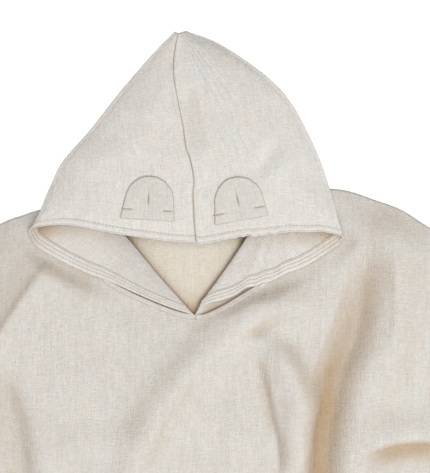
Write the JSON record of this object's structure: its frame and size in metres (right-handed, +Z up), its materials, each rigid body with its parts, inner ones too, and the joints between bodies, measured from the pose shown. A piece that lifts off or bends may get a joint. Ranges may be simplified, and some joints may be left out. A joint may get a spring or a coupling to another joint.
{
  "type": "hooded baby towel",
  "caption": "Soft muslin poncho towel with a pointed hood and bear ears, laid out flat and face up, the hood's front edges turned back like lapels.",
  "frame": {"origin": "centre of the bounding box's bottom face: on the surface that the towel lies on, under the middle of its outline", "axes": "+Y from the bottom hem to the tip of the hood, +Z up out of the towel's front, +X to the viewer's right looking down with the hood away"},
  "size_m": [0.6412, 0.7103, 0.0254],
  "materials": {
    "body_muslin": "matte undyed cotton muslin",
    "hood_muslin": "matte undyed cotton muslin",
    "ear_muslin": "matte undyed cotton muslin, two plies",
    "thread": "matte cotton sewing thread"
  },
  "bodies": {
    "towel": {"back_panel": "body_muslin", "front_panel": "body_muslin", "back_left_hem": "body_muslin", "back_right_hem": "body_muslin", "back_bottom_hem": "body_muslin", "back_neck_binding": "body_muslin", "front_left_hem": "body_muslin", "front_right_hem": "body_muslin", "front_bottom_hem": "body_muslin", "front_neck_binding": "body_muslin", "left_shoulder_seam": "body_muslin", "right_shoulder_seam": "body_muslin", "left_lapel": "hood_muslin", "right_lapel": "hood_muslin", "left_lapel_hem": "hood_muslin", "right_lapel_hem": "hood_muslin"},
    "hood": {"hood_left_panel": "hood_muslin", "hood_right_panel": "hood_muslin", "brow_hem": "hood_muslin", "hood_top_seam_tape": "hood_muslin", "hood_back_seam_tape": "hood_muslin", "left_ear_base": "ear_muslin", "right_ear_base": "ear_muslin", "left_ear_left_tack": "thread", "left_ear_right_tack": "thread", "right_ear_left_tack": "thread", "right_ear_right_tack": "thread"},
    "left_ear": {"left_ear_back_ply": "ear_muslin", "left_ear_front_ply": "ear_muslin"},
    "right_ear": {"right_ear_back_ply": "ear_muslin", "right_ear_front_ply": "ear_muslin"}
  },
  "joints": [
    {"name": "hood_fold", "type": "hinge", "parent": "towel", "child": "hood", "pos_m": [0, 0.151, 0.012], "axis": [1, 0, 0], "range_deg": [0, 90]},
    {"name": "left_ear_flap", "type": "hinge", "parent": "hood", "child": "left_ear", "pos_m": [-0.04442, 0.18398, 0.0243], "axis": [0.9983, -0.0576, 0], "range_deg": [0, 135]},
    {"name": "right_ear_flap", "type": "hinge", "parent": "hood", "child": "right_ear", "pos_m": [0.04218, 0.18333, 0.0243], "axis": [0.9833, 0.1822, 0], "range_deg": [0, 135]}
  ]
}
